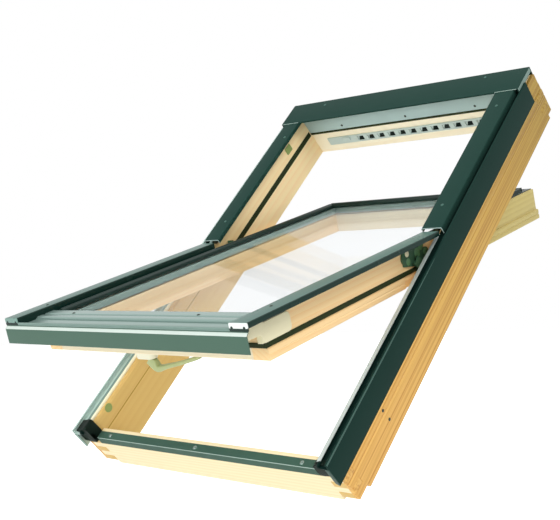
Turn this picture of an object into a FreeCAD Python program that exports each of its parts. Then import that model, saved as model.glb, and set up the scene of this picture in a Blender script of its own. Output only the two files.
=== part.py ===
import FreeCAD, Part
import operator
import os

import Sketcher

doc = FreeCAD.newDocument("centre_pivot_window")
sheet = doc.addObject("Spreadsheet::Sheet", "sizes")


class Size:
    """A length or angle with the sheet expression that drives it."""

    def __init__(self, number, text):
        self.number = number
        self.text = text

    def __add__(self, other):
        return joined(self, "+", other, operator.add)

    def __radd__(self, other):
        return joined(other, "+", self, operator.add)

    def __sub__(self, other):
        return joined(self, "-", other, operator.sub)

    def __rsub__(self, other):
        return joined(other, "-", self, operator.sub)

    def __mul__(self, other):
        return joined(self, "*", other, operator.mul)

    def __rmul__(self, other):
        return joined(other, "*", self, operator.mul)

    def __truediv__(self, other):
        return joined(self, "/", other, operator.truediv)

    def __neg__(self):
        return joined(-1, "*", self, operator.mul)


def sized(value):
    return value if isinstance(value, Size) else Size(float(value), repr(value))


def joined(first, sign, second, act):
    first, second = sized(first), sized(second)
    return Size(act(first.number, second.number), f"({first.text} {sign} {second.text})")


rows = []


def cell(alias, number, note):
    """One driving dimension: a row of the sheet with its alias and a note."""
    rows.append(alias)
    row = len(rows)
    sheet.set(f"A{row}", alias)
    sheet.set(f"B{row}", str(number))
    sheet.set(f"C{row}", note)
    sheet.setAlias(f"B{row}", alias)
    return Size(float(number), f"sizes.{alias}")


# Flat drawing of the closed window: x across, y up the slope from the middle of the frame,
# z outwards from the weather face of the jambs.
frame_width = cell("frame_width", 780, "outside width of the timber frame")
frame_height = cell("frame_height", 1180, "outside height of the timber frame along the slope")
frame_depth = cell("frame_depth", 127, "depth of the frame below its weather face")
roof_pitch = cell("roof_pitch", 45, "slope of the roof in degrees")
open_angle = cell("open_angle", 30, "turn of the sash from closed, in degrees")
jamb_width = cell("jamb_width", 44, "width of a jamb")
ridge_width = cell("ridge_width", 13, "width of the raised inner strip of a jamb")
ridge_height = cell("ridge_height", 1.5, "raised strip above the weather face")
head_width = cell("head_width", 44, "width of the head")
sill_width = cell("sill_width", 30, "width of the sill")
sill_depth = cell("sill_depth", 28, "top of the sill below the weather face")
finger_depth = cell("finger_depth", 17, "thickness of one corner joint finger")
low_notch = cell("low_notch", 38, "length of the step at the sill end")
high_notch = cell("high_notch", 20, "length of the step at the head end")
groove_width = cell("groove_width", 3, "width of the grooves along a jamb")
groove_depth = cell("groove_depth", 2, "depth of the grooves along a jamb")
rebate_depth = cell("rebate_depth", 38, "inner groove of a jamb below the weather face")
sheet_thick = cell("sheet_thick", 1.5, "thickness of the folded sheets")
flash_depth = cell("flash_depth", 48, "side plate of the flashing below the weather face")
flash_over = cell("flash_over", 16, "flashing past the sill end of the jamb")
flash_short = cell("flash_short", 52, "flashing end below the head end of the jamb")
curb_gap = cell("curb_gap", 2, "flashing curb from the raised strip of the jamb")
curb_width = cell("curb_width", 6, "width of the folded flashing curb")
curb_height = cell("curb_height", 16.5, "top of the flashing curb above the weather face")
curb_strip = cell("curb_strip", 1, "thickness of the strip over the curb")
fold_width = cell("fold_width", 6, "width of the raised outer fold of the flashing")
fold_height = cell("fold_height", 4, "raised outer fold above the weather face")
end_width = cell("end_width", 9, "width of the end flange of the flashing")
end_chamfer = cell("end_chamfer", 6, "slanted corner of the end flange of the flashing")
pivot_up = cell("pivot_up", 8, "pivot line above the middle of the frame")
pivot_out = cell("pivot_out", 28, "pivot line outside the weather face")
cover_height = cell("cover_height", 22, "weather side of the upper covers")
cover_width = cell("cover_width", 53, "width of an upper cover")
cover_inset = cell("cover_inset", 15, "upper cover from the outer side of the frame")
cover_start = cell("cover_start", 14, "end of the upper covers above the pivot line")
cover_gap = cell("cover_gap", 6, "play of the sash covers to the frame")
inner_wall = cell("inner_wall", 11, "inner wall of the upper covers")
outer_wall = cell("outer_wall", 17, "outer wall of the upper covers")
batten_width = cell("batten_width", 10, "width of the batten below a cover")
hood_inset = cell("hood_inset", 5, "hood end from the outer side of the frame")
hood_length = cell("hood_length", 89, "hood along the slope")
hood_back = cell("hood_back", 30, "back wall of the hood below the weather face")
hood_side = cell("hood_side", 12, "end walls of the hood")
hood_lip = cell("hood_lip", 3, "front lip of the hood")
strip_thick = cell("strip_thick", 3, "strip on the inner side of the head")
strip_height = cell("strip_height", 7, "head strip above the weather face")
strip_depth = cell("strip_depth", 50, "head strip below the weather face")
seal_depth = cell("seal_depth", 8, "depth of a seal strip")
seal_thick = cell("seal_thick", 1, "seal strip proud of the frame")
side_seal = cell("side_seal", 15, "depth of the seal strip along a jamb")
corner_length = cell("corner_length", 22, "corner seal along the jamb")
corner_front = cell("corner_front", 8, "corner seal in front of the jamb")
corner_height = cell("corner_height", 12, "corner seal above the weather face")
corner_reach = cell("corner_reach", 3.5, "corner seal inside the jamb")
inlet_length = cell("inlet_length", 594, "air inlet along the head")
inlet_depth = cell("inlet_depth", 24, "air inlet across the head")
inlet_level = cell("inlet_level", 78, "air inlet below the weather face")
inlet_thick = cell("inlet_thick", 4, "air inlet proud of the head")
louvre_pitch = cell("louvre_pitch", 36, "spacing of the louvre slots")
louvre_length = cell("louvre_length", 22, "length of a louvre slot")
louvre_width = cell("louvre_width", 15, "width of a louvre slot")
louvre_start = cell("louvre_start", 107, "first louvre slot from the left end of the inlet")
catch_inset = cell("catch_inset", 156, "middle of the catch plates from the head end")
catch_length = cell("catch_length", 28, "length of a catch plate")
catch_depth = cell("catch_depth", 21, "depth of a catch plate")
catch_thick = cell("catch_thick", 2, "catch plate proud of the jamb")
catch_level = cell("catch_level", 18, "middle of a catch plate below the weather face")
bush_inset = cell("bush_inset", 75, "bolt bush from the sill end of the jamb")
bush_level = cell("bush_level", 8, "bolt bush below the weather face")
bush_radius = cell("bush_radius", 11, "radius of a bolt bush")
bush_hole = cell("bush_hole", 5, "radius of the hole in a bolt bush")
hinge_radius = cell("hinge_radius", 76, "radius of the curved hinge track about the pivot line")
track_half = cell("track_half", 11, "half width of the hinge plates")
rib_half = cell("rib_half", 4, "half width of the track groove")
hinge_gap = cell("hinge_gap", 0.4, "play of the hinge rib in its groove")
plate_thick = cell("plate_thick", 5, "thickness of the frame's hinge plate")
track_depth = cell("track_depth", 3, "depth of the track groove")
arm_thick = cell("arm_thick", 4, "thickness of the sash's hinge plate")
sash_play = cell("sash_play", 12, "sash side from the jamb")
lip_play = cell("lip_play", 6, "sash lip from the jamb")
lip_depth = cell("lip_depth", 25, "depth of the sash lip")
bead_line = cell("bead_line", 2, "depth of the rounded line along the sash lip")
sash_depth = cell("sash_depth", 74, "room side of the sash below the weather face")
sash_height = cell("sash_height", 4, "weather side of the stiles above the weather face")
stile_width = cell("stile_width", 38, "width of a stile")
head_play = cell("head_play", 16, "top of the sash from the head")
foot_play = cell("foot_play", 13, "foot of the sash from the sill")
rail_width = cell("rail_width", 40, "width of a rail")
pane_edge = cell("pane_edge", 17, "glass rebate in the sash")
rail_edge = cell("rail_edge", 24, "glass rebate in the rails")
pane_play = cell("pane_play", 1, "play round the glass")
pane_thick = cell("pane_thick", 4, "thickness of a pane")
pane_space = cell("pane_space", 16, "space between the panes")
spacer_width = cell("spacer_width", 10, "width of the edge spacer")
bead_lap = cell("bead_lap", 9, "glazing bead over the glass")
bead_width = cell("bead_width", 14, "width of the raised part of a glazing bead")
bead_height = cell("bead_height", 13.5, "top of the glazing beads above the glass")
bead_foot = cell("bead_foot", 6, "height of the upright inner side of a glazing bead")
sash_cover_step = cell("sash_cover_step", 2.5, "sash covers above the upper covers")
sash_cover_wall = cell("sash_cover_wall", 10.5, "outer wall of the sash covers")
sash_cover_end = cell("sash_cover_end", 4, "sash covers past the pivot line")
sash_cover_past = cell("sash_cover_past", 30, "foot of the sash covers past the frame")
end_cap_thick = cell("end_cap_thick", 2, "thickness of the end caps of the sash covers")
apron_out = cell("apron_out", 7, "apron past the foot of the sash covers")
apron_bevel = cell("apron_bevel", 6, "slope at the top of the apron, along the sash")
apron_drop = cell("apron_drop", 6.5, "height of the slope at the top of the apron")
apron_depth = cell("apron_depth", 32.5, "apron below the weather face")
apron_flange = cell("apron_flange", 20, "apron flange on the foot profile")
apron_rib = cell("apron_rib", 6.5, "height of the rib on the apron flange")
profile_height = cell("profile_height", 12, "bead of the foot profile above the weather face")
profile_bead = cell("profile_bead", 58, "double bead of the foot profile along the slope")
profile_line = cell("profile_line", 36, "groove between the beads from the glass side")
profile_floor = cell("profile_floor", 7, "channel of the foot profile above the weather face")
gasket_depth = cell("gasket_depth", 10, "depth of the sash gasket")
gasket_thick = cell("gasket_thick", 3, "sash gasket proud of the sash")
block_length = cell("block_length", 78, "length of the stile corner blocks")
block_thick = cell("block_thick", 3, "corner block proud of the stile")
block_past = cell("block_past", 43, "corner block past the foot of the stile")
block_wall = cell("block_wall", 14, "width of the corner block past the stile")
block_corner = cell("block_corner", 15, "rounded corner of a corner block")
handle_side = cell("handle_side", 20, "handle spindle left of the middle")
handle_reach = cell("handle_reach", 150, "handle lever from its spindle")
handle_height = cell("handle_height", 28, "handle lever off its base")
handle_width = cell("handle_width", 16, "width of the handle lever")
neck_radius = cell("neck_radius", 9, "radius of the handle neck")
base_length = cell("base_length", 58, "length of the handle base")
base_shift = cell("base_shift", 12, "middle of the handle base left of the spindle")
base_width = cell("base_width", 26, "width of the handle base")
base_thick = cell("base_thick", 16, "thickness of the handle base")
doc.recompute()

half_width = frame_width / 2
half_height = frame_height / 2
jamb_in = half_width - jamb_width
ridge_out = jamb_in + ridge_width
head_in = half_height - head_width
sill_in = sill_width - half_height
joint_end = flash_depth + 4 * finger_depth
side_in = half_width - sheet_thick
curb_in = ridge_out + curb_gap
curb_out = curb_in + curb_width
flash_foot = sheet_thick - half_height - flash_over
stile_out = jamb_in - sash_play
lip_out = jamb_in - lip_play
stile_in = stile_out - stile_width
rebate_in = stile_in + pane_edge
pane_half = rebate_in - pane_play
glass_seat = -(2 * pane_thick + pane_space)
lip_top = lip_depth - sash_depth
sash_head = head_in - head_play
sash_foot = sill_in + foot_play
rail_head = sash_head - rail_width
rail_foot = sash_foot + rail_width
rebate_head = rail_head + rail_edge
rebate_foot = rail_foot - rail_edge
bead_head = rebate_head - pane_edge
profile_head = rebate_foot + pane_edge
bead_in = pane_half - bead_lap
bead_out = bead_in + bead_width
cover_out = half_width - cover_inset
cover_in = cover_out - cover_width
cover_under = cover_height - sheet_thick
upper_start = pivot_up + cover_start
hood_front = half_height - hood_length
sash_cover_in = cover_in + cover_gap
sash_cover_out = curb_out + cover_gap + sheet_thick
sash_cover_top = cover_height + sash_cover_step
sash_cover_edge = sash_cover_top - sash_cover_wall
sash_cover_foot = -half_height - sash_cover_past
handle_up = rail_foot - rail_width / 2

track_low = 191
track_high = 300
rib_low = 262
rib_high = 349
notch_foot = pivot_up - hinge_radius - 2.5 * track_half
notch_head = pivot_up + hinge_radius + 2.5 * track_half
seal_foot = notch_foot - 5

# Outlines as shares of the hinge radius, and of the handle's reach and height.
tail_spots = [
    (-1.25, -0.39), (-1.25, -0.74), (-0.39, -0.92), (0.13, -1.05),
    (0.13, -0.87), (-0.26, -0.29), (-1.13, -0.29),
]
lever_spots = [
    (-0.09, -0.06), (-0.06, -0.24), (0.08, -0.86), (0.115, -0.97), (0.16, -0.91), (0.31, -0.68),
    (0.45, -0.49), (0.6, -0.30), (0.78, -0.05), (0.92, 0.13), (1.0, 0.26), (1.0, 0.37),
    (0.96, 0.39), (0.78, 0.27), (0.6, 0.03), (0.42, -0.23), (0.32, -0.36), (0.23, -0.41),
    (0.17, -0.37), (0.13, -0.24), (0.1, -0.06),
]

planes = {"x": "YZ_Plane", "y": "XZ_Plane", "z": "XY_Plane"}
subparts = []
cuts = []


def new_body(label, moving=False):
    body = doc.addObject("PartDesign::Body", label)
    body.Label = label
    body.AllowCompound = True
    subparts.append((body, moving))
    return body


def bind(target, path, size):
    """Set one size of a feature and tie it to the sheet."""
    size = sized(size)
    if "sizes." in size.text:
        target.setExpression(path, size.text)
    return size.number


def add_sketch(body, axis, level):
    """A sketch across the given axis, at the given level along it."""
    sketch = body.newObject("Sketcher::SketchObject", "Section")
    role = planes[axis]
    plane = [item for item in body.Origin.OriginFeatures if item.Role == role][0]
    sketch.AttachmentSupport = [(plane, "")]
    sketch.MapMode = "FlatFace"
    shift = -sized(level) if axis == "y" else sized(level)
    sketch.AttachmentOffset.Base.z = shift.number
    bind(sketch, "AttachmentOffset.Base.z", shift)
    return sketch


def place_point(sketch, line, end, point):
    for kind, size in zip(("DistanceX", "DistanceY"), point):
        size = sized(size)
        index = sketch.addConstraint(Sketcher.Constraint(kind, -1, 1, line, end, size.number))
        bind(sketch, f"Constraints[{index}]", size)


def draw_loop(sketch, points):
    """A closed outline of straight lines, each corner dimensioned from the origin."""
    spots = [FreeCAD.Vector(sized(x).number, sized(y).number, 0) for x, y in points]
    first = sketch.GeometryCount
    count = len(points)
    for i in range(count):
        sketch.addGeometry(Part.LineSegment(spots[i], spots[(i + 1) % count]))
    for i in range(count):
        following = first + (i + 1) % count
        sketch.addConstraint(Sketcher.Constraint("Coincident", first + i, 2, following, 1))
    for i in range(count):
        place_point(sketch, first + i, 1, points[i])


def draw_circle(sketch, centre, radius):
    spot = FreeCAD.Vector(sized(centre[0]).number, sized(centre[1]).number, 0)
    up = FreeCAD.Vector(0, 0, 1)
    index = sketch.addGeometry(Part.Circle(spot, up, sized(radius).number))
    place_point(sketch, index, 3, centre)
    rule = sketch.addConstraint(Sketcher.Constraint("Radius", index, sized(radius).number))
    bind(sketch, f"Constraints[{rule}]", radius)


def extrude(body, axis, loops, low, high, cut=False):
    """Add or cut outlines from one level to another along an axis."""
    sketch = add_sketch(body, axis, low)
    for loop in loops:
        if isinstance(loop[0], tuple) and len(loop) > 2:
            draw_loop(sketch, loop)
        else:
            draw_circle(sketch, loop[0], loop[1])
    feature = body.newObject("PartDesign::Pocket" if cut else "PartDesign::Pad", "Run")
    feature.Profile = sketch
    length = sized(high) - low
    feature.Length = length.number
    bind(feature, "Length", length)
    feature.Reversed = (axis == "y") != cut
    if cut:
        cuts.append(feature)
    return feature


def revolve(body, loops, low, high, cut=False):
    """Sweep outlines, drawn as (across, radius), about the pivot line between two angles."""
    sketch = body.newObject("Sketcher::SketchObject", "Arc")
    plane = [item for item in body.Origin.OriginFeatures if item.Role == "XY_Plane"][0]
    sketch.AttachmentSupport = [(plane, "")]
    sketch.MapMode = "FlatFace"
    turn = FreeCAD.Rotation(FreeCAD.Vector(1, 0, 0), low)
    base = FreeCAD.Vector(0, pivot_up.number, pivot_out.number)
    sketch.AttachmentOffset = FreeCAD.Placement(base, turn)
    bind(sketch, "AttachmentOffset.Base.y", pivot_up)
    bind(sketch, "AttachmentOffset.Base.z", pivot_out)
    for loop in loops:
        draw_loop(sketch, loop)
    feature = body.newObject("PartDesign::Groove" if cut else "PartDesign::Revolution", "Sweep")
    feature.Profile = sketch
    feature.ReferenceAxis = (sketch, ["H_Axis"])
    feature.Angle = high - low
    if cut:
        cuts.append(feature)
    return feature


def box(low, high):
    """Outline of a rectangle between two corners."""
    return [low, (high[0], low[1]), high, (low[0], high[1])]


def both_sides(points):
    """An outline and its mirror image across the middle of the window."""
    return [points, [(-1 * sized(x), y) for x, y in points]]


def to_side(side, points):
    return [(side * sized(x), y) for x, y in points]


def timber_frame():
    joint_rows = [flash_depth, flash_depth + 2 * finger_depth]
    for side, label in ((-1, "left_jamb"), (1, "right_jamb")):
        jamb = new_body(label)
        line = -flash_depth - finger_depth
        section = [
            (jamb_in, ridge_height),
            (ridge_out, ridge_height),
            (ridge_out, 0),
            (side_in, 0),
            (side_in, -flash_depth),
            (half_width, -flash_depth),
            (half_width, line),
            (half_width - groove_depth, line - groove_width / 2),
            (half_width, line - groove_width),
            (half_width, -frame_depth),
            (jamb_in, -frame_depth),
        ]
        extrude(jamb, "y", [to_side(side, section)], -half_height, half_height)
        low_side, high_side = (-half_width, -jamb_in) if side < 0 else (jamb_in, half_width)
        slots = []
        for row in joint_rows:
            slots.append(box((-half_height - 1, -row - finger_depth), (sill_in, -row)))
            slots.append(box((head_in, -row - finger_depth), (half_height + 1, -row)))
        slots.append(box((-half_height - 1, -frame_depth - 1), (low_notch - half_height, -joint_end)))
        slots.append(box((half_height - high_notch, -frame_depth - 1), (half_height + 1, -joint_end)))
        slots.append(box((half_height - sheet_thick, -hood_back), (half_height + 1, ridge_height + 1)))
        extrude(jamb, "x", slots, low_side - 1, high_side + 1, cut=True)
        line = [
            (jamb_in - 1, -rebate_depth),
            (jamb_in + groove_depth, -rebate_depth - groove_width / 2),
            (jamb_in - 1, -rebate_depth - groove_width),
        ]
        extrude(jamb, "y", [to_side(side, line)], sill_in, notch_foot, cut=True)
    head = new_body("frame_head")
    section = [
        (head_in, 0),
        (half_height - sheet_thick, 0),
        (half_height - sheet_thick, -hood_back),
        (half_height, -hood_back),
        (half_height, -frame_depth),
        (head_in, -frame_depth),
    ]
    extrude(head, "x", [section], -jamb_in, jamb_in)
    fingers = [box((head_in, -row - finger_depth), (half_height, -row)) for row in joint_rows]
    extrude(head, "x", fingers, -half_width, half_width)
    sill = new_body("frame_sill")
    section = [
        (sill_in, -sill_depth),
        (sheet_thick - half_height, -sill_depth),
        (sheet_thick - half_height, -flash_depth),
        (-half_height, -flash_depth),
        (-half_height, -frame_depth),
        (sill_in, -frame_depth),
    ]
    extrude(sill, "x", [section], -jamb_in, jamb_in)
    fingers = [box((-half_height, -row - finger_depth), (sill_in, -row)) for row in joint_rows]
    extrude(sill, "x", fingers, -half_width, half_width)


def frame_metal():
    curb_end = upper_start - cover_gap
    for side, name in ((-1, "left"), (1, "right")):
        flashing = new_body(f"{name}_flashing")
        section = [
            (ridge_out, 0),
            (half_width - fold_width, 0),
            (side_in - sheet_thick, fold_height - sheet_thick),
            (side_in, fold_height - sheet_thick),
            (side_in, -flash_depth),
            (half_width, -flash_depth),
            (half_width, fold_height),
            (side_in - sheet_thick, fold_height),
            (half_width - fold_width - sheet_thick / 2, sheet_thick),
            (ridge_out, sheet_thick),
        ]
        extrude(flashing, "y", [to_side(side, section)], flash_foot, half_height - flash_short)
        fold = [
            (curb_in, sheet_thick),
            (curb_in + sheet_thick, sheet_thick),
            (curb_in + sheet_thick, curb_height - sheet_thick),
            (curb_out - sheet_thick, curb_height - sheet_thick),
            (curb_out - sheet_thick, sheet_thick),
            (curb_out, sheet_thick),
            (curb_out, curb_height),
            (curb_in, curb_height),
        ]
        extrude(flashing, "y", [to_side(side, fold)], flash_foot, curb_end)
        cover = new_body(f"{name}_upper_cover")
        section = [
            (cover_in, cover_height - inner_wall),
            (cover_in + sheet_thick, cover_height - inner_wall),
            (cover_in + sheet_thick, cover_under),
            (cover_out - sheet_thick, cover_under),
            (cover_out - sheet_thick, cover_height - outer_wall),
            (cover_out, cover_height - outer_wall),
            (cover_out, cover_height),
            (cover_in, cover_height),
        ]
        extrude(cover, "y", [to_side(side, section)], upper_start, hood_front + 14)
    strips = new_body("curb_strips")
    section = [
        (curb_in, sheet_thick),
        (curb_in, curb_height),
        (curb_out, curb_height),
        (curb_out, curb_height + curb_strip),
        (curb_in - curb_strip, curb_height + curb_strip),
        (curb_in - curb_strip, sheet_thick),
    ]
    extrude(strips, "y", both_sides(section), flash_foot, curb_end)
    caps = new_body("flashing_end_caps")
    flange = half_width - end_width
    section = [
        (flange, sheet_thick),
        (half_width, sheet_thick),
        (half_width, -flash_depth),
        (flange + end_chamfer, -flash_depth),
        (flange, end_chamfer - flash_depth),
    ]
    extrude(caps, "y", both_sides(section), flash_foot - sheet_thick, flash_foot)
    battens = new_body("cover_battens")
    section = box((jamb_in, ridge_height), (jamb_in + batten_width, cover_under))
    extrude(battens, "y", both_sides(section), upper_start + 8, hood_front)

    hood = new_body("head_hood")
    plate = cover_height + sheet_thick
    section = [
        (hood_front, cover_height),
        (half_height - sheet_thick, cover_height),
        (half_height - sheet_thick, -hood_back),
        (half_height, -hood_back),
        (half_height, plate),
        (hood_front, plate),
    ]
    hood_half = half_width - hood_inset
    extrude(hood, "x", [section], -hood_half, hood_half)
    walls = box((hood_half - sheet_thick, hood_front), (hood_half, half_height - sheet_thick))
    extrude(hood, "z", both_sides(walls), cover_height - hood_side, cover_height)
    lip = box((2 - cover_in, hood_front), (cover_in - 2, hood_front + sheet_thick))
    extrude(hood, "z", [lip], cover_height - hood_lip, cover_height)

    strip = new_body("head_strip")
    section = box((head_in - strip_thick, -strip_depth), (head_in, strip_height))
    extrude(strip, "x", [section], 1 - jamb_in, jamb_in - 1)

    cover = new_body("sill_cover")
    plate_in = sill_in - sill_width / 3
    section = [
        (plate_in, -sill_depth),
        (plate_in, sheet_thick - sill_depth),
        (-half_height, sheet_thick - sill_depth),
        (-half_height, -flash_depth),
        (sheet_thick - half_height, -flash_depth),
        (sheet_thick - half_height, -sill_depth),
    ]
    extrude(cover, "x", [section], -jamb_in, jamb_in)


def frame_fittings():
    seals = new_body("corner_seals")
    low = sheet_thick - sill_depth
    seal_in = jamb_in - corner_reach
    crest = [
        (ridge_out, corner_height),
        (seal_in + corner_reach / 2, corner_height),
        (seal_in, corner_height - corner_reach),
    ]
    section = [(seal_in, low), (jamb_in, low), (jamb_in, ridge_height), (ridge_out, ridge_height)]
    extrude(seals, "y", both_sides(section + crest), -half_height, corner_length - half_height)
    front = [(seal_in, low - corner_front), (ridge_out, low - corner_front)]
    extrude(seals, "y", both_sides(front + crest), -half_height - corner_front, -half_height)

    gasket = new_body("frame_gasket")
    level = -strip_depth - seal_depth
    sides = box((jamb_in - seal_thick, level), (jamb_in, level + side_seal))
    extrude(gasket, "y", both_sides(sides), notch_head, head_in - 2 * strip_thick)
    top = box((head_in - strip_thick, level), (head_in, level + seal_depth))
    extrude(gasket, "x", [top], 1 - jamb_in, jamb_in - 1)

    inlet = new_body("air_inlet")
    half_inlet = inlet_length / 2
    section = box((head_in - inlet_thick, -inlet_level - inlet_depth), (head_in, -inlet_level))
    extrude(inlet, "x", [section], -half_inlet, half_inlet)
    mid = -inlet_level - inlet_depth / 2
    first = louvre_start - half_inlet
    slot = box((first, mid - louvre_width / 2), (first + louvre_length, mid + louvre_width / 2))
    louvre = extrude(inlet, "y", [slot], head_in - inlet_thick - 1, head_in - inlet_thick / 4, cut=True)
    louvres = inlet.newObject("PartDesign::LinearPattern", "Louvres")
    louvres.Originals = [louvre]
    louvres.Direction = (louvre.Profile[0], ["H_Axis"])
    louvres.Occurrences = 13
    louvres.Length = 12 * louvre_pitch.number
    bind(louvres, "Length", 12 * louvre_pitch)
    inlet.Tip = louvres

    catches = new_body("catch_plates")
    middle = half_height - catch_inset
    half_depth = catch_depth / 2
    section = box((jamb_in - catch_thick, -catch_level - half_depth), (jamb_in, half_depth - catch_level))
    extrude(catches, "y", both_sides(section), middle - catch_length / 2, middle + catch_length / 2)

    bushes = new_body("bolt_bushes")
    spot = (bush_inset - half_height, -bush_level)
    for low, high in ((-jamb_in, seal_thick - jamb_in), (jamb_in - seal_thick, jamb_in)):
        extrude(bushes, "x", [(spot, bush_radius), (spot, bush_hole)], low, high)


def pivot_hinges():
    inner, outer = hinge_radius - track_half, hinge_radius + track_half
    face = jamb_in - plate_thick
    groove_end = face + track_depth
    for side, name in ((-1, "left"), (1, "right")):
        plate = new_body(f"{name}_pivot_plate")
        ring = box((face, inner), (jamb_in, outer))
        revolve(plate, [to_side(side, ring)], track_low, track_high)
        groove = box((face - 1, hinge_radius - rib_half), (groove_end, hinge_radius + rib_half))
        revolve(plate, [to_side(side, groove)], track_low, track_high, cut=True)

        arm = new_body(f"{name}_pivot_arm", moving=True)
        arm_face = stile_out + arm_thick
        rim = track_half / 5
        ring = box((stile_out, inner + rim), (arm_face, outer - rim))
        revolve(arm, [to_side(side, ring)], rib_low, rib_high)
        rib_reach = rib_half - hinge_gap
        rib = box((arm_face - hinge_gap, hinge_radius - rib_reach),
                  (groove_end - hinge_gap, hinge_radius + rib_reach))
        revolve(arm, [to_side(side, rib)], rib_low, rib_high)
        low, high = (-arm_face, -stile_out) if side < 0 else (stile_out, arm_face)
        tail = [(pivot_up + a * hinge_radius, pivot_out + b * hinge_radius) for a, b in tail_spots]
        extrude(arm, "x", [tail], low, high)
        eye = (pivot_up - 1.07 * hinge_radius, pivot_out - 0.52 * hinge_radius)
        extrude(arm, "x", [(eye, 0.23 * hinge_radius)], low, high)


def sash_timber():
    for side, name in ((-1, "left"), (1, "right")):
        stile = new_body(f"{name}_stile", moving=True)
        middle = lip_depth / 2 - sash_depth
        section = [
            (stile_in, -sash_depth),
            (lip_out - bead_line, -sash_depth),
            (lip_out, bead_line - sash_depth),
            (lip_out, middle - bead_line),
            (lip_out - bead_line, middle),
            (lip_out, middle + bead_line),
            (lip_out, lip_top - bead_line),
            (lip_out - bead_line, lip_top),
            (stile_out, lip_top),
            (stile_out, sash_height),
            (rebate_in, sash_height),
            (rebate_in, glass_seat),
            (stile_in, glass_seat),
        ]
        extrude(stile, "y", [to_side(side, section)], sash_foot, sash_head)
        gap = box((stile_out, notch_foot), (lip_out + 1, notch_head))
        extrude(stile, "z", [to_side(side, gap)], -sash_depth - 1, lip_top + 1, cut=True)
    rail = new_body("top_rail", moving=True)
    section = box((rail_head, -sash_depth), (sash_head, glass_seat))
    extrude(rail, "x", [section], -stile_in, stile_in)
    lip = box((sash_head - 1, -sash_depth), (sash_head + lip_play, lip_top))
    extrude(rail, "x", [lip], -stile_in, stile_in)
    edge = box((rebate_head, glass_seat), (sash_head, sash_height))
    extrude(rail, "x", [edge], -rebate_in, rebate_in)
    rail = new_body("bottom_rail", moving=True)
    section = box((sash_foot, -sash_depth), (rail_foot, glass_seat))
    extrude(rail, "x", [section], -stile_in, stile_in)
    edge = box((sash_foot, glass_seat), (rebate_foot, sash_height))
    extrude(rail, "x", [edge], -rebate_in, rebate_in)


def sash_glass():
    sheet_outline = box((-pane_half, rebate_foot + pane_play), (pane_half, rebate_head - pane_play))
    inner = new_body("inner_pane", moving=True)
    extrude(inner, "z", [sheet_outline], glass_seat, glass_seat + pane_thick)
    outer = new_body("outer_pane", moving=True)
    extrude(outer, "z", [sheet_outline], -pane_thick, 0)
    spacer = new_body("glass_spacer", moving=True)
    hole = box((spacer_width - pane_half, rebate_foot + pane_play + spacer_width),
               (pane_half - spacer_width, rebate_head - pane_play - spacer_width))
    extrude(spacer, "z", [sheet_outline, hole], glass_seat + pane_thick, -pane_thick)
    plate = sash_height + sheet_thick
    for side, name in ((-1, "left"), (1, "right")):
        bead = new_body(f"{name}_glazing_bead", moving=True)
        section = [
            (bead_in, 0),
            (rebate_in, 0),
            (rebate_in, sash_height),
            (sash_cover_in, sash_height),
            (sash_cover_in, plate),
            (bead_out, plate),
            (bead_out - sheet_thick, bead_height),
            (bead_in + bead_width / 3, bead_height),
            (bead_in, bead_foot),
        ]
        extrude(bead, "y", [to_side(side, section)], profile_head, bead_head)
    cover = new_body("top_glazing_cover", moving=True)
    flat = box((bead_head, sash_height), (sash_head, plate))
    extrude(cover, "x", [flat], -sash_cover_in, sash_cover_in)
    foot = box((bead_head, 0), (rebate_head, sash_height))
    extrude(cover, "x", [foot], -rebate_in, rebate_in)
    crest = [
        (bead_head, plate),
        (bead_head + bead_width, plate),
        (bead_head + bead_width - sheet_thick, bead_height),
        (bead_head + bead_width / 3, bead_height),
        (bead_head, bead_foot),
    ]
    extrude(cover, "x", [crest], -bead_out, bead_out)


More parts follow.
